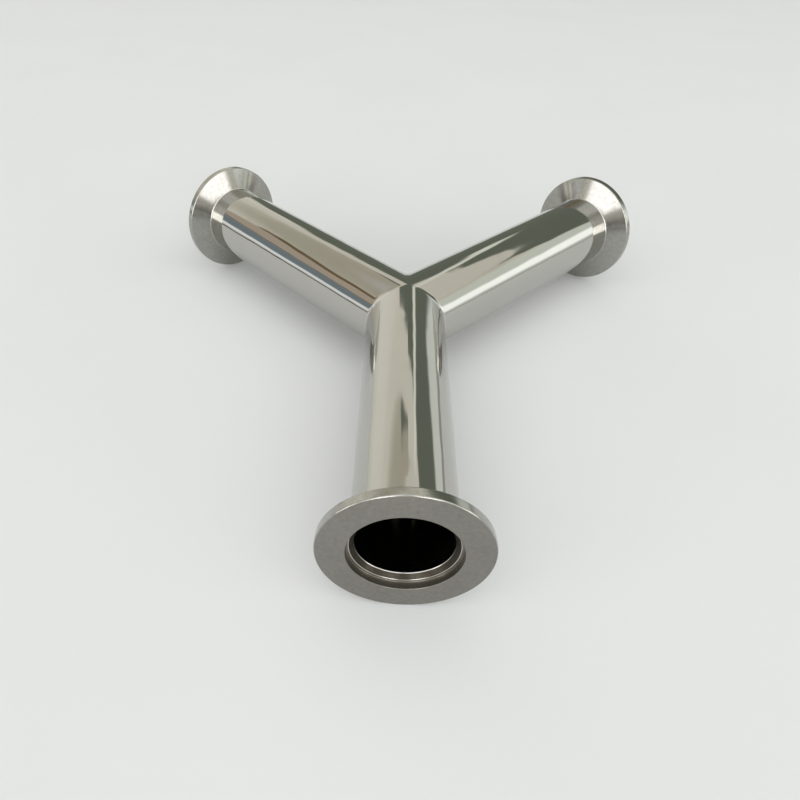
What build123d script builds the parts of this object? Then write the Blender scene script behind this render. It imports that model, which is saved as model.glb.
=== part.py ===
from build123d import *
import os
from math import atan, cos, degrees, radians, sin, tan

# A three-way vacuum fitting of the Y pattern: one main tube and two branch tubes, cut to
# mitres that meet on one vertical line and welded edge to edge, with a turned clamp flange
# butt-welded to the open end of each tube. Stainless steel throughout, rigid, no seals fitted.
# Millimetres. The origin is the centre of the main port's sealing face, +Y runs from that
# face into the fitting, the three centre lines lie in the plane z = 0, and +Z is up.

# Layout of the three centre lines
main_arm_length = 94.0  # main sealing face to the point where the centre lines cross
branch_arm_length = 104.0  # that crossing to either branch's sealing face
branch_angle = 45.0  # each branch's centre line away from the main line, in degrees

# Tube, the same stock for all three arms
tube_od = 25.4
tube_wall = 1.5

# Clamp flange, turned from bar, one on each arm
flange_od = 40.0
flange_length = 12.0  # sealing face to the end of the weld neck
rim_thickness = 2.5  # straight land of the rim, before the back taper starts
back_taper = 15.0  # slope of the clamping cone from a flat plane, in degrees
main_neck_step = 0.0  # the main port's girth weld is ground flush and polished over
branch_neck_step = 0.2  # a branch's neck stands this much below its tube, all round
face_edge_break = 0.3  # chamfer round the sealing face

# Stepped mouth of each port, which centres the seal's carrier ring
recess_depth = 2.0
ledge_width = 0.65  # flat floor of the recess
lead_in_width = 1.25  # conical step from the ledge down to the bore, seen end on
lead_in_slope = 45.0

# Mitre welds, ground and polished to a hollow radius between neighbouring tubes
weld_radius = 1.5

# Sizes that follow from those above
tube_radius = tube_od / 2
bore_radius = tube_radius - tube_wall
flange_radius = flange_od / 2
ledge_radius = bore_radius + lead_in_width
recess_radius = ledge_radius + ledge_width
lead_in_end = recess_depth + lead_in_width * tan(radians(lead_in_slope))
main_tube_length = main_arm_length - flange_length
branch_tube_length = branch_arm_length - flange_length
crossing = Vector(0, main_arm_length, 0)

# Headings in plan, in degrees anticlockwise from +X
main_heading = -90.0
left_heading = 90.0 + branch_angle
right_heading = 90.0 - branch_angle
rear_seam_heading = 90.0
left_seam_heading = (left_heading + main_heading + 360.0) / 2
right_seam_heading = (right_heading + main_heading) / 2

# Angle between a tube's centre line and the seam plane that it shares with its neighbour
front_mitre = (180.0 - branch_angle) / 2
rear_mitre = branch_angle


def heading_vector(heading):
    """A level unit vector on a heading."""
    return Vector(cos(radians(heading)), sin(radians(heading)), 0)


def run_out_angle(mitre):
    """Plan angle from the centre line at which the weld's hollow radius meets the tube."""
    return degrees(atan(tan(radians(mitre)) * tube_radius / (tube_radius + weld_radius)))


def plan_wedge(start_heading, end_heading):
    """A tall wedge with its edge on the vertical line through the crossing, open outwards."""
    reach = 3 * max(main_arm_length, branch_arm_length)
    middle = (start_heading + end_heading) / 2
    corners = [(0, 0)]
    for heading in (start_heading, middle, end_heading):
        tip = heading_vector(heading) * reach
        corners.append((tip.X, tip.Y))
    outline = make_face(Polyline(*corners, close=True))
    return extrude(outline, amount=tube_od, both=True)


def mitred_tube(heading, length, clockwise_mitre, anticlockwise_mitre):
    """A tube from the crossing out to its flange, trimmed to its two mitre welds."""
    centre_line = Plane(origin=(0, 0, 0), x_dir=(0, 0, 1), z_dir=heading_vector(heading))
    from_crossing = (Align.CENTER, Align.CENTER, Align.MIN)
    stock = Cylinder(tube_radius, length, align=from_crossing)
    stock -= Cylinder(bore_radius, length, align=from_crossing)
    trim = plan_wedge(
        heading - run_out_angle(clockwise_mitre),
        heading + run_out_angle(anticlockwise_mitre),
    )
    return Pos(crossing) * (centre_line * stock & trim)


def mitre_weld(heading, mitre):
    """The weld metal on one seam. Its outside is the hollow left by a ball of weld_radius
    rolled along the corner, so it is widest in the crotch and fades to nothing at top and
    bottom, where the tubes are level with each other."""
    crest_height = tube_radius + weld_radius
    crest_reach = crest_height / sin(radians(mitre))
    half_ellipse = EllipticalCenterArc((0, 0), crest_reach, crest_height, -90, arc_size=180)
    crest = Plane.XZ * half_ellipse
    blank_face = make_face(crest + Line(crest @ 1, crest @ 0))
    blank = extrude(blank_face, amount=weld_radius, both=True)
    half_spread = mitre - run_out_angle(mitre)
    weld = blank & plan_wedge(-half_spread, half_spread)
    ball_section = Plane(origin=crest @ 0, z_dir=crest % 0) * Circle(weld_radius)
    weld -= sweep(ball_section, path=crest)
    for side in (mitre, -mitre):
        bore_line = Plane(origin=(0, 0, 0), x_dir=(0, 0, 1), z_dir=heading_vector(side))
        weld -= bore_line * Cylinder(bore_radius, 4 * crest_reach)
    return Pos(crossing) * Rot(0, 0, heading) * weld


def flange_profile(neck_step):
    """Half section of a flange: x is the radius, y the depth behind the sealing face."""
    neck_radius = tube_radius - neck_step
    cone_end = rim_thickness + (flange_radius - neck_radius) * tan(radians(back_taper))
    outline = Polyline(
        (recess_radius, 0),
        (flange_radius - face_edge_break, 0),
        (flange_radius, face_edge_break),
        (flange_radius, rim_thickness),
        (neck_radius, cone_end),
        (neck_radius, flange_length),
        (bore_radius, flange_length),
        (bore_radius, lead_in_end),
        (ledge_radius, recess_depth),
        (recess_radius, recess_depth),
        close=True,
    )
    return make_face(outline)


def clamp_flange(heading, arm_length, centre, neck_step):
    """A flange with its sealing face at the end of an arm and its neck towards the crossing."""
    turned = revolve(flange_profile(neck_step), Axis.Y)
    outward = heading_vector(heading)
    face_centre = centre + outward * arm_length
    return Plane(origin=face_centre, x_dir=(0, 0, 1), z_dir=outward) * Rot(-90, 0, 0) * turned


pieces = {
    "main_tube": mitred_tube(main_heading, main_tube_length, front_mitre, front_mitre),
    "left_branch_tube": mitred_tube(left_heading, branch_tube_length, rear_mitre, front_mitre),
    "right_branch_tube": mitred_tube(right_heading, branch_tube_length, front_mitre, rear_mitre),
    "left_mitre_weld": mitre_weld(left_seam_heading, front_mitre),
    "right_mitre_weld": mitre_weld(right_seam_heading, front_mitre),
    "rear_mitre_weld": mitre_weld(rear_seam_heading, rear_mitre),
    "main_flange": clamp_flange(main_heading, main_arm_length, crossing, main_neck_step),
    "left_branch_flange": clamp_flange(
        left_heading, branch_arm_length, crossing, branch_neck_step
    ),
    "right_branch_flange": clamp_flange(
        right_heading, branch_arm_length, crossing, branch_neck_step
    ),
}

os.makedirs("parts", exist_ok=True)
for name, solid in pieces.items():
    export_step(solid, f"parts/{name}.step")
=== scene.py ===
from math import atan2, cos, degrees, hypot, pi, radians, sin, tan

import bpy
from mathutils import Euler, Matrix, Vector


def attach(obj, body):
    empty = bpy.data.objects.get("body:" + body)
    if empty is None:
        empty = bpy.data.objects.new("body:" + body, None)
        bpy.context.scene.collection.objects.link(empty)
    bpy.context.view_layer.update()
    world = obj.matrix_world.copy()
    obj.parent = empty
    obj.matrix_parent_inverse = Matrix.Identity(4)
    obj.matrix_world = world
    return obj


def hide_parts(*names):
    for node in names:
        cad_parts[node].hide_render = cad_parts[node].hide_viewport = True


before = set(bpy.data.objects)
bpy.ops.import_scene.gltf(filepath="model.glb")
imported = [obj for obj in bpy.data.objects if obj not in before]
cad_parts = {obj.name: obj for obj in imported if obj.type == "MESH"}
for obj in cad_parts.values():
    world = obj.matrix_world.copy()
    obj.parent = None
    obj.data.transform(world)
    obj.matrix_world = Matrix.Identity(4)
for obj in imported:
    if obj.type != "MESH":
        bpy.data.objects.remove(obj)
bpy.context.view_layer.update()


# The viewpoint. A short wide lens held close above the near port, looking down along the
# main tube, so that the near flange is large and the two branches run away to small ones.
camera_data = bpy.data.cameras.new("camera")
camera_data.lens = 27.2024
camera_data.sensor_width = 36.0
camera_data.shift_x = 0.0526
camera_data.shift_y = 0.0428
camera_data.clip_start = 0.01
camera = bpy.data.objects.new("camera", camera_data)
camera_right = Vector((0.99829466, 0.05795127, 0.00703005))
camera_up = Vector((-0.04502336, 0.68769104, 0.72460605))
camera_back = Vector((0.03715734, -0.72368687, 0.68912745))
camera.matrix_world = (
    Matrix.Translation((-0.00646127, -0.07746608, 0.10970565))
    @ Matrix((camera_right, camera_up, camera_back)).transposed().to_4x4()
)
bpy.context.scene.collection.objects.link(camera)
bpy.context.scene.camera = camera
bpy.context.scene.view_settings.view_transform = "Standard"


# The table: a sheet of pale matt paper that the three flanges stand on. It is wide enough
# to be the whole background, and its colour alone makes the background pale.
def linear(code):
    """An sRGB hex colour as linear red, green, blue and alpha."""
    channels = [int(code[i : i + 2], 16) / 255 for i in (1, 3, 5)]
    return [c / 12.92 if c <= 0.04045 else ((c + 0.055) / 1.055) ** 2.4 for c in channels] + [1.0]


def add_node(tree, kind, sockets=None, **settings):
    """Adds a node with its settings. A socket given another node's output is linked to it."""
    added = tree.nodes.new(kind)
    for setting, value in settings.items():
        setattr(added, setting, value)
    for socket, value in (sockets or {}).items():
        if isinstance(value, bpy.types.NodeSocket):
            tree.links.new(value, added.inputs[socket])
        else:
            added.inputs[socket].default_value = value
    return added


def new_material(name):
    """An empty node material with its output, and the tree to fill."""
    material = bpy.data.materials.new(name)
    material.use_nodes = True
    material.node_tree.nodes.clear()
    return material, material.node_tree


flange_radius = 0.020
table_height = -flange_radius
room_radius = 6.0
bpy.ops.object.select_all(action="DESELECT")
bpy.ops.mesh.primitive_circle_add(
    vertices=96, radius=room_radius, fill_type="NGON", location=(0, 0, table_height)
)
table = bpy.context.object
table.name = "table"
bpy.ops.object.transform_apply()

# uncoated paper: matt, with next to no sheen, and faintly uneven over about 80 mm
paper, tree = new_material("matt_paper")
paper_place = add_node(tree, "ShaderNodeTexCoord")
paper_tone = add_node(
    tree,
    "ShaderNodeTexNoise",
    {"Vector": paper_place.outputs["Object"], "Scale": 12.0, "Detail": 2.0},
)
paper_colour = add_node(
    tree,
    "ShaderNodeMix",
    {"Factor": paper_tone.outputs["Fac"], 6: linear("#D5D6D8"), 7: linear("#D9DADC")},
    data_type="RGBA",
)
paper_shader = add_node(
    tree,
    "ShaderNodeBsdfPrincipled",
    {"Base Color": paper_colour.outputs[2], "Roughness": 0.9, "Specular IOR Level": 0.2},
)
add_node(tree, "ShaderNodeOutputMaterial", {"Surface": paper_shader.outputs["BSDF"]})
table.data.materials.append(paper)


# The light tent round the table: warm pale cloth, with a dark doorway at the back, windows low
# on the right, shelves low on the left, and a ceiling and four lamps behind the viewer. The
# polished tubes have no colour of their own, so what they show is this tent.
bpy.ops.object.select_all(action="DESELECT")
bpy.ops.mesh.primitive_uv_sphere_add(
    segments=64, ring_count=32, radius=room_radius, location=(0, 0, 0)
)
tent = bpy.context.object
tent.name = "light_tent"
tent.visible_camera = False

# lit translucent cloth: it glows evenly, and only its direction from the fitting counts.
# Azimuth is 0 straight ahead along +Y and grows towards +X; elevation is 0 at the table.
tent_cloth, tree = new_material("tent_cloth")
tent_place = add_node(tree, "ShaderNodeTexCoord")
tent_direction = add_node(
    tree, "ShaderNodeVectorMath", {0: tent_place.outputs["Object"]}, operation="NORMALIZE"
)
tent_axes = add_node(tree, "ShaderNodeSeparateXYZ", {0: tent_direction.outputs["Vector"]})
azimuth_angle = add_node(
    tree,
    "ShaderNodeMath",
    {0: tent_axes.outputs["X"], 1: tent_axes.outputs["Y"]},
    operation="ARCTAN2",
)
azimuth = add_node(tree, "ShaderNodeMath", {0: azimuth_angle.outputs[0]}, operation="DEGREES")
elevation_angle = add_node(tree, "ShaderNodeMath", {0: tent_axes.outputs["Z"]}, operation="ARCSINE")
elevation = add_node(tree, "ShaderNodeMath", {0: elevation_angle.outputs[0]}, operation="DEGREES")

wall_heights = [
    (-5.0, "#ABA9A0"),
    (10.0, "#BDBCB4"),
    (22.0, "#BDBCB3"),
    (32.0, "#B5B3A8"),
    (39.0, "#99978A"),
    (47.0, "#959183"),
    (60.0, "#AEB0B4"),
    (90.0, "#C6C9CF"),
]
wall_foot, wall_top = wall_heights[0][0], wall_heights[-1][0]
wall_by_height = add_node(
    tree,
    "ShaderNodeMapRange",
    {"Value": elevation.outputs[0], "From Min": wall_foot, "From Max": wall_top},
)
wall_colour = add_node(tree, "ShaderNodeValToRGB", {"Fac": wall_by_height.outputs["Result"]})
ramp = wall_colour.color_ramp
for index, (height, code) in enumerate(wall_heights):
    spot = (height - wall_foot) / (wall_top - wall_foot)
    stop = ramp.elements[index] if index < 2 else ramp.elements.new(spot)
    stop.position = spot
    stop.color = linear(code)


def tent_panel(below, code, azimuths, elevations, softness=1.5, slant=0.0, gain=1.0):
    """A panel hung on the tent between two azimuths and two elevations, in degrees, over
    the colour socket below it. The slant shifts it sideways for each degree that it rises,
    and its azimuths are then those that it would have at the table."""
    lean = add_node(
        tree,
        "ShaderNodeMath",
        {0: elevation.outputs[0], 1: -slant, 2: azimuth.outputs[0]},
        operation="MULTIPLY_ADD",
    )
    mask = 1.0
    for value, limits in ((lean.outputs[0], azimuths), (elevation.outputs[0], elevations)):
        for limit, side in zip(limits, (-1, 1)):
            outer, inner = limit + side * softness, limit - side * softness
            edge = add_node(
                tree,
                "ShaderNodeMapRange",
                {"Value": value, "From Min": outer, "From Max": inner},
                interpolation_type="SMOOTHSTEP",
            )
            both = {0: mask, 1: edge.outputs["Result"]}
            mask = add_node(tree, "ShaderNodeMath", both, operation="MULTIPLY").outputs[0]
    colour = [channel * gain for channel in linear(code)[:3]] + [1.0]
    panel = add_node(tree, "ShaderNodeMix", {"Factor": mask, 6: below, 7: colour}, data_type="RGBA")
    return panel.outputs[2]


tent_colour = wall_colour.outputs["Color"]
# the dark doorway, the pale wall and ceiling that slope down to it, its light gap, and a
# pale chest with its dark plinth beside it
tent_colour = tent_panel(tent_colour, "#575C53", (-11, 66), (-10, 43), softness=1.2)
tent_colour = tent_panel(tent_colour, "#B6B4A9", (-122, -96), (27, 46), softness=1.5, slant=2.9)
tent_colour = tent_panel(tent_colour, "#B3B2A8", (286, 600), (30, 70), softness=3, slant=-6.0)
tent_colour = tent_panel(tent_colour, "#C3C5BB", (0, 4.5), (23, 44), softness=1.2, slant=0.35)
tent_colour = tent_panel(tent_colour, "#B4B8B2", (29, 62), (4, 19), softness=2)
tent_colour = tent_panel(tent_colour, "#80837E", (33, 66), (-8, 3), softness=1.5)
# windows low on the right, the brightest strip at ten degrees
tent_colour = tent_panel(tent_colour, "#B6BCB3", (66, 100), (-10, 31), softness=2)
tent_colour = tent_panel(tent_colour, "#F4F8F6", (66, 100), (6, 18), softness=2)
tent_colour = tent_panel(tent_colour, "#999E9A", (66, 100), (-10, 3), softness=1.2)
# shelves low on the left: brown ones over a blue-grey one, with a bright line under them
tent_colour = tent_panel(tent_colour, "#978D80", (-100, -67), (20, 37), softness=1.0)
tent_colour = tent_panel(tent_colour, "#5F4F3A", (-100, -66), (32.5, 36.5), softness=0.8)
tent_colour = tent_panel(tent_colour, "#4E4A42", (-100, -70), (20.5, 21.8), softness=0.5)
tent_colour = tent_panel(tent_colour, "#667075", (-100, -72), (9, 20.5), softness=1.5)
tent_colour = tent_panel(tent_colour, "#CDD3D6", (-100, -72), (4.5, 8.5), softness=1.0)
tent_colour = tent_panel(tent_colour, "#34373A", (-100, -72), (-3, 2), softness=0.6)
# the pale ceiling over the viewer, with two soft boxes and two narrow strip lights under it
tent_colour = tent_panel(tent_colour, "#E8EAE8", (98, 172), (28, 70), softness=4)
tent_colour = tent_panel(tent_colour, "#E8EAE8", (-172, -98), (28, 70), softness=4)
tent_colour = tent_panel(tent_colour, "#FFFFFF", (108, 136), (-5, 20), softness=2.5, gain=1.5)
tent_colour = tent_panel(tent_colour, "#FFFFFF", (-136, -108), (-5, 20), softness=2.5, gain=1.5)
tent_colour = tent_panel(tent_colour, "#FFFFFF", (153, 171), (6, 26), softness=2.5, gain=2.8)
tent_colour = tent_panel(tent_colour, "#FFFFFF", (-171, -153), (6, 26), softness=2.5, gain=2.8)

tent_strength = 1.9  # at which steel shows a panel about as its colour is written
tent_light = add_node(
    tree, "ShaderNodeEmission", {"Color": tent_colour, "Strength": tent_strength}
)
add_node(tree, "ShaderNodeOutputMaterial", {"Surface": tent_light.outputs["Emission"]})
tent.data.materials.append(tent_cloth)

world = bpy.data.worlds.new("pale_room")
world.use_nodes = True
world.node_tree.nodes["Background"].inputs["Color"].default_value = linear("#E6E6E6")
world.node_tree.nodes["Background"].inputs["Strength"].default_value = 1.0
bpy.context.scene.world = world

overhead_data = bpy.data.lights.new("overhead_lamp", "AREA")
overhead_data.shape = "DISK"
overhead_data.size = 1.6
overhead_data.energy = 2.5
overhead = bpy.data.objects.new("overhead_lamp", overhead_data)
overhead.location = (0.0, -0.1, 2.2)
bpy.context.scene.collection.objects.link(overhead)


# Polished tube: drawn stainless tube, mitred, fused at the mitres and mechanically polished
# to a mirror, then wiped. The eye sees fine streaks along the tube, faint haze, and edges of
# reflections that waver by a hair because drawn tube is never quite round.
millimetre = 0.001
tube_radius = 0.0127
bore_radius = 0.0112
crossing = Vector((0.0, 0.094, 0.0))
arms = {"main": -90.0, "left_branch": 135.0, "right_branch": 45.0}  # headings from +X
haziest = 1.7  # how much rougher the steel is where the wiping left most haze
waver_depth = 0.08 * millimetre
bore_roughness = 0.1


def polished_steel(name, heading, streak_width, streak_depth, roughness):
    """Polished stainless steel whose streaks run along a heading, in degrees from +X."""
    material, tree = new_material(name)
    place = add_node(tree, "ShaderNodeTexCoord")
    turn = Euler((0.0, 0.0, -radians(heading)))
    shift = -(turn.to_matrix() @ crossing)
    along = add_node(
        tree,
        "ShaderNodeMapping",
        {"Vector": place.outputs["Object"], "Location": shift, "Rotation": turn},
    )

    # long polishing streaks, drawn wider than the real 0.05 mm so that they show
    stretched = add_node(
        tree,
        "ShaderNodeVectorMath",
        {0: along.outputs["Vector"], 1: (0.02, 1.0, 1.0)},
        operation="MULTIPLY",
    )
    streaks = add_node(
        tree,
        "ShaderNodeTexNoise",
        {
            "Vector": stretched.outputs["Vector"],
            "Scale": 1 / streak_width,
            "Detail": 3.0,
            "Roughness": 0.6,
        },
    )
    # drawn tube is out of true over 6 mm round it and twice that along it
    drawn = add_node(
        tree,
        "ShaderNodeVectorMath",
        {0: along.outputs["Vector"], 1: (0.45, 1.0, 1.0)},
        operation="MULTIPLY",
    )
    waver = add_node(
        tree,
        "ShaderNodeTexNoise",
        {
            "Vector": drawn.outputs["Vector"],
            "Scale": 1 / (6 * millimetre),
            "Detail": 1.0,
            "Roughness": 0.4,
        },
    )
    # haze left by wiping, in patches about 12 mm across
    haze = add_node(
        tree,
        "ShaderNodeTexNoise",
        {
            "Vector": along.outputs["Vector"],
            "Scale": 1 / (12 * millimetre),
            "Detail": 5.0,
            "Roughness": 0.65,
        },
    )
    haze_roughness = add_node(
        tree,
        "ShaderNodeMapRange",
        {
            "Value": haze.outputs["Fac"],
            "From Min": 0.35,
            "From Max": 0.7,
            "To Min": roughness,
            "To Max": haziest * roughness,
        },
    )
    # the bore is left as drawn, a little duller than the outside
    axes = add_node(tree, "ShaderNodeSeparateXYZ", {0: along.outputs["Vector"]})
    from_axis = add_node(
        tree, "ShaderNodeCombineXYZ", {"Y": axes.outputs["Y"], "Z": axes.outputs["Z"]}
    )
    radius = add_node(
        tree, "ShaderNodeVectorMath", {0: from_axis.outputs["Vector"]}, operation="LENGTH"
    )
    inside = add_node(
        tree,
        "ShaderNodeMapRange",
        {
            "Value": radius.outputs["Value"],
            "From Min": bore_radius + 0.1 * millimetre,
            "From Max": bore_radius + 0.3 * millimetre,
            "To Min": 1.0,
            "To Max": 0.0,
        },
    )
    tone = add_node(
        tree,
        "ShaderNodeMix",
        {"Factor": haze.outputs["Fac"], 6: linear("#C0BEBA"), 7: linear("#B9B7B2")},
        data_type="RGBA",
    )
    colour = add_node(
        tree,
        "ShaderNodeMix",
        {"Factor": inside.outputs["Result"], 6: tone.outputs[2], 7: linear("#C6C4C0")},
        data_type="RGBA",
    )
    finish = add_node(
        tree,
        "ShaderNodeMix",
        {
            "Factor": inside.outputs["Result"],
            2: haze_roughness.outputs["Result"],
            3: bore_roughness,
        },
    )
    waver_bump = add_node(
        tree,
        "ShaderNodeBump",
        {"Height": waver.outputs["Fac"], "Strength": 1.0, "Distance": waver_depth},
    )
    streak_bump = add_node(
        tree,
        "ShaderNodeBump",
        {
            "Height": streaks.outputs["Fac"],
            "Strength": 1.0,
            "Distance": streak_depth,
            "Normal": waver_bump.outputs["Normal"],
        },
    )
    shader = add_node(
        tree,
        "ShaderNodeBsdfPrincipled",
        {
            "Base Color": colour.outputs[2],
            "Metallic": 1.0,
            "Roughness": finish.outputs[0],
            "Normal": streak_bump.outputs["Normal"],
        },
    )
    add_node(tree, "ShaderNodeOutputMaterial", {"Surface": shader.outputs["BSDF"]})
    return material


for arm, heading in arms.items():
    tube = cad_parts[arm + "_tube"]
    tube.material_slots[0].material = polished_steel(
        "polished_tube_" + arm,
        heading,
        streak_width=0.5 * millimetre,
        streak_depth=0.0012 * millimetre,
        roughness=0.05,
    )


# Mitre welds: weld metal fused into the three corners where the tubes meet, ground to a
# small hollow and polished with a felt wheel along the seam, a little less bright than the
# tube beside it.
seams = {"left": 202.5, "right": -22.5, "rear": 90.0}  # headings from +X
for side, heading in seams.items():
    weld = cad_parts[side + "_mitre_weld"]
    weld.material_slots[0].material = polished_steel(
        "polished_weld_" + side,
        heading,
        streak_width=0.35 * millimetre,
        streak_depth=0.001 * millimetre,
        roughness=0.07,
    )


# Polished blends: above and below each crotch the polisher's felt wheel has carried the weld
# out over the tubes, so that a reflection turns the corner softly there, while in the
# crotch itself the hollow stays as tight as the wheel's edge.
crotch_radius = 1.55 * millimetre
blend_radii = {"left": 8 * millimetre, "right": 6 * millimetre, "rear": 5 * millimetre}
half_angles = {"left": 67.5, "right": 67.5, "rear": 45.0}  # from the seam to either tube
seam_margin = 2.0  # degrees round the tube left bare at the crown and at the foot
wide_arc = 15.0  # degrees from the crown over which the blend keeps its widest radius
closing_arc = 60.0  # degrees over which it then closes to the crotch radius
skin_thickness = 0.1 * millimetre


def blend_point(across, round_tube, half_angle, crown_radius):
    """A point of the blend in the seam's own frame: across goes from one tube to the other,
    and round_tube from the top to the foot. A ball rolled along the corner shapes it."""
    turn = radians(seam_margin + (180.0 - 2 * seam_margin) * round_tube)
    from_crown = min(degrees(turn), 180.0 - degrees(turn))
    tightness = min(max((from_crown - wide_arc) / closing_arc, 0.0), 1.0)
    tightness = tightness * tightness * (3 - 2 * tightness)
    ball = crown_radius + (crotch_radius - crown_radius) * tightness
    centre = Vector((sin(turn) / sin(radians(half_angle)), 0.0, cos(turn))) * (tube_radius + ball)
    touches = []
    for side in (-1, 1):
        axis = Vector((cos(radians(half_angle)), side * sin(radians(half_angle)), 0.0))
        outwards = (centre - axis * centre.dot(axis)).normalized()
        touches.append(-outwards)
    return centre + touches[0].slerp(touches[1], across) * ball


for side, heading in seams.items():
    bpy.ops.object.select_all(action="DESELECT")
    bpy.ops.mesh.primitive_grid_add(
        x_subdivisions=14, y_subdivisions=120, size=1.0, location=(0, 0, 0)
    )
    blend = bpy.context.object
    seam_frame = Matrix.Translation(crossing) @ Matrix.Rotation(radians(heading), 4, "Z")
    lowest = min(vertex.co.x for vertex in blend.data.vertices)
    for vertex in blend.data.vertices:
        place = (vertex.co.x - lowest, vertex.co.y - lowest)
        vertex.co = seam_frame @ blend_point(*place, half_angles[side], blend_radii[side])
    blend.data.update()
    middle_face = min(blend.data.polygons, key=lambda face: (face.center - crossing).z ** 2)
    if middle_face.normal.dot(middle_face.center - crossing) < 0:
        blend.data.flip_normals()
    wall = blend.modifiers.new("weld_skin", "SOLIDIFY")
    wall.thickness = skin_thickness
    wall.offset = -1.0
    bpy.ops.object.modifier_apply(modifier=wall.name)
    bpy.ops.object.shade_smooth_by_angle(angle=radians(40))
    blend.data.materials.append(bpy.data.materials["polished_weld_" + side])
    blend.name = side + "_weld_blend"
    blend.data.name = blend.name
    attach(blend, "root")


# Clamp flanges: turned from stainless bar on a lathe, with a flat sealing face, a stepped
# mouth that centres the seal, a clamping cone behind the rim and a short neck that is
# butt-welded to its tube. The main port's neck is flush with its tube and polished over.
branch_reach = 0.104
mouth_radius = 0.0131
mouth_depth = 0.002
ledge_radius = 0.01245
lead_in_depth = 0.00325
flange_length = 0.012
rim_thickness = 0.0025
clamp_slope = 15.0
neck_step = 0.2 * millimetre  # a branch's neck stands this much below its tube
neck_start = 0.0042  # depth behind which the fillet between cone and neck begins
bore_start = 0.0036  # depth behind which the bore is clear of its broken edge
turn_steps = 256
corner_tolerance = 0.01 * millimetre
longest_face = 0.02  # a wider jump on the lathe map is where the outline closes on itself
widest_break = 0.35 * millimetre
inner_weld_height = 0.03 * millimetre  # the girth weld's root, which just covers the tube's end


def turned_outline(neck_radius):
    """Each turned corner: its radius, its depth behind the sealing face and how far the
    edge there is broken."""
    cone_end = rim_thickness + (flange_radius - neck_radius) * tan(radians(clamp_slope))
    end_break = 0.03 * millimetre if neck_radius < tube_radius else 0.0
    return [
        (mouth_radius, 0.0, 0.14 * millimetre),
        (flange_radius, 0.0, widest_break),
        (flange_radius, rim_thickness, 0.25 * millimetre),
        (neck_radius, cone_end, 0.3 * millimetre),
        (neck_radius, flange_length, end_break),
        (bore_radius - inner_weld_height, flange_length, 0.0),
        (bore_radius, lead_in_depth, 0.2 * millimetre),
        (ledge_radius, mouth_depth, 0.12 * millimetre),
        (mouth_radius, mouth_depth, 0.12 * millimetre),
    ]


def outline_distance(corners, radius, depth):
    """How far along the turned outline the nearest point to this radius and depth lies."""
    nearest = (1.0, 0.0)
    start = 0.0
    for before, after in zip(corners, corners[1:] + corners[:1]):
        run = Vector((after[0] - before[0], after[1] - before[1]))
        offset = Vector((radius - before[0], depth - before[1]))
        part = min(max(offset.dot(run) / run.length_squared, 0.0), 1.0)
        gap = (offset - run * part).length
        if gap < nearest[0] - 1e-9:
            nearest = (gap, start + run.length * part)
        start += run.length
    return nearest[1]


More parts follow.
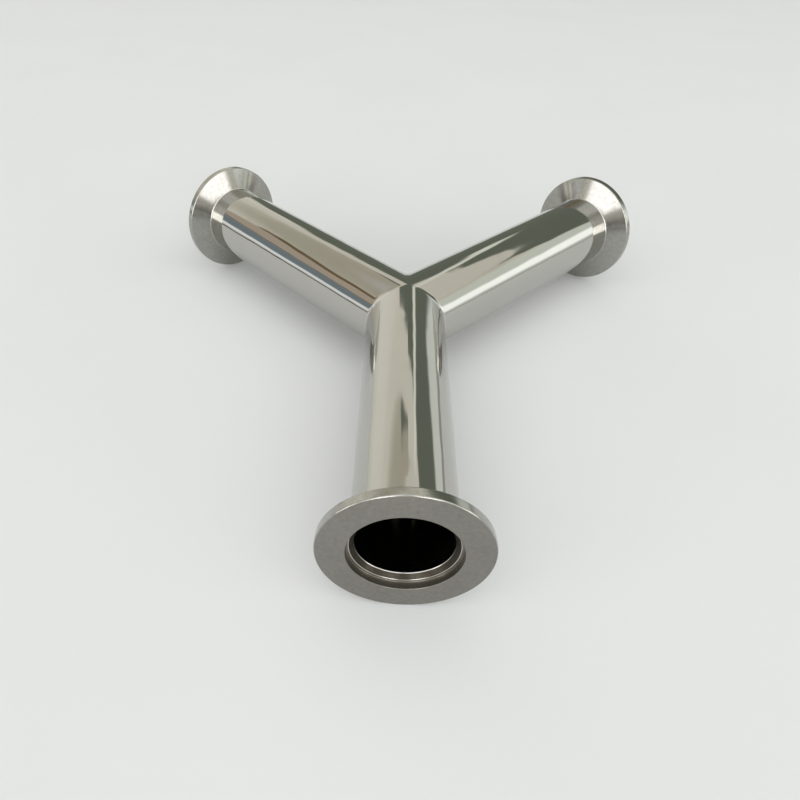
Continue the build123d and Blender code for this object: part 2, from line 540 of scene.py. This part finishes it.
def turn_flange(neck_radius):
    """A flange on the main port's centre line, its sealing face at the origin."""
    corners = turned_outline(neck_radius)
    bpy.ops.object.select_all(action="DESELECT")
    bpy.ops.mesh.primitive_circle_add(
        vertices=turn_steps,
        radius=mouth_radius,
        fill_type="NOTHING",
        location=(0, 0, 0),
        rotation=(radians(90), 0, 0),
    )
    flange = bpy.context.object
    bpy.ops.object.transform_apply()
    bpy.ops.object.mode_set(mode="EDIT")
    for before, after in zip(corners, corners[1:] + corners[:1]):
        deeper = (0, after[1] - before[1], 0)
        bpy.ops.mesh.extrude_edges_move(TRANSFORM_OT_translate={"value": deeper})
        grow = after[0] / before[0]
        bpy.ops.transform.resize(value=(grow, 1, grow), center_override=(0, after[1], 0))
    bpy.ops.mesh.select_all(action="SELECT")
    bpy.ops.mesh.remove_doubles(threshold=1e-6)
    bpy.ops.mesh.normals_make_consistent(inside=False)
    bpy.ops.object.mode_set(mode="OBJECT")

    edge_break = flange.data.attributes.new("bevel_weight_edge", "FLOAT", "EDGE")
    for edge in flange.data.edges:
        ends = [flange.data.vertices[i].co for i in edge.vertices]
        for radius, depth, width in corners:
            misses = [hypot(hypot(end.x, end.z) - radius, end.y - depth) for end in ends]
            if max(misses) < corner_tolerance:
                edge_break.data[edge.index].value = width / widest_break
    bevel = flange.modifiers.new("turned_edges", "BEVEL")
    bevel.limit_method = "WEIGHT"
    bevel.width = widest_break
    bevel.segments = 4
    bpy.ops.object.modifier_apply(modifier=bevel.name)
    bpy.ops.object.shade_smooth_by_angle(angle=radians(35))
    weights = flange.modifiers.new("face_normals", "WEIGHTED_NORMAL")
    weights.mode = "FACE_AREA"
    weights.weight = 90
    weights.keep_sharp = True
    bpy.ops.object.modifier_apply(modifier=weights.name)

    # The map follows the lathe: U runs along the turned outline and V round the turn, both
    # in metres, so that tool marks have their real pitch on every face of the flange.
    lathe_map = flange.data.uv_layers.new(name="lathe_map")
    for face in flange.data.polygons:
        face_turn = atan2(face.center.z, face.center.x)
        face_radius = hypot(face.center.x, face.center.z)
        face_distance = outline_distance(corners, face_radius, face.center.y)
        for corner in face.loop_indices:
            point = flange.data.vertices[flange.data.loops[corner].vertex_index].co
            turn = atan2(point.z, point.x)
            turn += 2 * pi * round((face_turn - turn) / (2 * pi))
            distance = outline_distance(corners, hypot(point.x, point.z), point.y)
            if abs(distance - face_distance) > longest_face:
                distance = face_distance
            lathe_map.data[corner].uv = (distance, turn * flange_radius)

        # Slot 0 is the turned steel of rim and cone, 1 the bored mouth, 2 the tube's own
        # finish, which also suits the bore and the mouth's burnished edges, 3 the stepped
        # neck, 4 the lead-in cone and 5 the sealing face.
        bore_edge, ledge_edge = corners[6:8]
        burnished = any(
            hypot(face_radius - radius, face.center.y - depth) < 0.9 * width
            for radius, depth, width in (bore_edge, ledge_edge)
        )
        in_bore = face_radius < bore_radius + 0.2 * millimetre and face.center.y > bore_start
        behind_cone = face.center.y > neck_start
        if burnished or in_bore:
            face.material_index = 2
        elif face_radius < mouth_radius + 0.1 * millimetre and not behind_cone:
            face.material_index = 4 if face_radius < ledge_radius else 1
        elif behind_cone and face_radius < tube_radius + 0.1 * millimetre:
            face.material_index = 2 if neck_radius == tube_radius else 3
        elif face.normal.y < -0.95:
            face.material_index = 5
    return flange


def turned_steel(name, pale, dark, smooth, rough, ring_depth, scuff_depth):
    """Stainless steel as it leaves a fine finishing cut: rings about 0.1 mm apart, drawn at
    0.3 mm so that they show. They spread each light into a fan across the rings. Smooth and
    rough are its roughness where it is clean and where it is worn."""
    material, tree = new_material(name)
    place = add_node(tree, "ShaderNodeTexCoord")
    lathe_place = add_node(tree, "ShaderNodeUVMap", uv_map="lathe_map")
    ring_place = add_node(
        tree,
        "ShaderNodeVectorMath",
        {0: lathe_place.outputs["UV"], 1: (1.0, 0.01, 0.0)},
        operation="MULTIPLY",
    )
    rings = add_node(
        tree,
        "ShaderNodeTexNoise",
        {
            "Vector": ring_place.outputs["Vector"],
            "Scale": 1 / (0.3 * millimetre),
            "Detail": 2.0,
            "Roughness": 0.7,
        },
    )
    # handling leaves scuffs about a millimetre across, faint stains and a few dark specks
    scuffs = add_node(
        tree,
        "ShaderNodeTexNoise",
        {
            "Vector": place.outputs["Object"],
            "Scale": 1 / (1.2 * millimetre),
            "Detail": 5.0,
            "Roughness": 0.6,
        },
    )
    stains = add_node(
        tree,
        "ShaderNodeTexNoise",
        {
            "Vector": place.outputs["Object"],
            "Scale": 1 / (14 * millimetre),
            "Detail": 3.0,
            "Roughness": 0.6,
        },
    )
    specks = add_node(
        tree,
        "ShaderNodeTexNoise",
        {"Vector": place.outputs["Object"], "Scale": 1 / (0.7 * millimetre), "Detail": 1.0},
    )
    speck_mask = add_node(
        tree,
        "ShaderNodeMapRange",
        {
            "Value": specks.outputs["Fac"],
            "From Min": 0.7,
            "From Max": 0.8,
            "To Min": 0.0,
            "To Max": 0.4,
        },
    )
    faint_stains = add_node(
        tree, "ShaderNodeMath", {0: stains.outputs["Fac"], 1: 0.6}, operation="MULTIPLY"
    )
    wear = add_node(
        tree,
        "ShaderNodeMath",
        {0: scuffs.outputs["Fac"], 1: 0.9, 2: faint_stains.outputs[0]},
        operation="MULTIPLY_ADD",
    )
    wear_range = add_node(
        tree, "ShaderNodeMapRange", {"Value": wear.outputs[0], "From Min": 0.3, "From Max": 1.2}
    )
    tone = add_node(
        tree,
        "ShaderNodeMix",
        {"Factor": wear_range.outputs["Result"], 6: linear(pale), 7: linear(dark)},
        data_type="RGBA",
    )
    speckled = add_node(
        tree,
        "ShaderNodeMix",
        {"Factor": speck_mask.outputs["Result"], 6: tone.outputs[2], 7: linear("#4E4B47")},
        data_type="RGBA",
    )
    satin = add_node(
        tree,
        "ShaderNodeMapRange",
        {
            "Value": wear.outputs[0],
            "From Min": 0.4,
            "From Max": 1.1,
            "To Min": smooth,
            "To Max": rough,
        },
    )
    ring_bump = add_node(
        tree,
        "ShaderNodeBump",
        {"Height": rings.outputs["Fac"], "Strength": 1.0, "Distance": ring_depth},
    )
    scuff_bump = add_node(
        tree,
        "ShaderNodeBump",
        {
            "Height": scuffs.outputs["Fac"],
            "Strength": 1.0,
            "Distance": scuff_depth,
            "Normal": ring_bump.outputs["Normal"],
        },
    )
    across_rings = add_node(tree, "ShaderNodeTangent", direction_type="UV_MAP", uv_map="lathe_map")
    shader = add_node(
        tree,
        "ShaderNodeBsdfPrincipled",
        {
            "Base Color": speckled.outputs[2],
            "Metallic": 1.0,
            "Roughness": satin.outputs["Result"],
            "Anisotropic": 0.8,
            "Tangent": across_rings.outputs["Tangent"],
            "Normal": scuff_bump.outputs["Normal"],
        },
    )
    add_node(tree, "ShaderNodeOutputMaterial", {"Surface": shader.outputs["BSDF"]})
    return material


# Rim and cone are turned bright and spread each light into a fan. The sealing face is scuffed
# by handling, and its steel is painted darker than the rim's as painted shade. The mouth is bored
# with a duller cut and shows as a dim ring, its lead-in cone is painted near black as painted
# shade of the recess, and the neck, dressed after welding, is nearly a mirror.
turned_flange = turned_steel("turned_flange_steel", "#BBBAB5", "#97958F", 0.1, 0.18, 3e-6, 1e-6)
# painted shade: the sealing face's steel is painted darker than the rim's, and its scuffs are real
# wear
sealing_face_with_painted_shade = turned_steel("faced_sealing_steel_painted_shade", "#9D9A94", "#7D7A74", 0.2, 0.3, 3e-6, 1.5e-6)
bored_mouth = turned_steel("bored_mouth_steel", "#A09A90", "#78726A", 0.26, 0.36, 2e-6, 2e-6)
# painted shade: the lead-in cone's steel is painted near black for the shade in the recess
lead_in = turned_steel("lead_in_painted_shade_steel", "#524D44", "#36322C", 0.3, 0.4, 2e-6, 2e-6)
turned_neck = turned_steel("turned_neck_steel", "#C8C7C3", "#B0AFAA", 0.08, 0.14, 1e-6, 1e-6)

flush_flange = turn_flange(tube_radius)
stepped_flange = turn_flange(tube_radius - neck_step)
second_stepped_flange = stepped_flange.copy()
second_stepped_flange.data = stepped_flange.data.copy()
bpy.context.scene.collection.objects.link(second_stepped_flange)
flanges = {
    "main": flush_flange,
    "left_branch": stepped_flange,
    "right_branch": second_stepped_flange,
}
for arm, flange in flanges.items():
    if arm != "main":
        outward = Vector((cos(radians(arms[arm])), sin(radians(arms[arm])), 0.0))
        flange.data.transform(
            Matrix.Translation(crossing + outward * branch_reach)
            @ Matrix.Rotation(radians(arms[arm] + 90.0), 4, "Z")
        )
    tube_finish = bpy.data.materials["polished_tube_" + arm]
    for finish in (turned_flange, bored_mouth, tube_finish, turned_neck, lead_in, sealing_face_with_painted_shade):
        flange.data.materials.append(finish)
    flange.name = "turned_" + arm + "_flange"
    flange.data.name = flange.name
    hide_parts(arm + "_flange")
    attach(flange, "root")
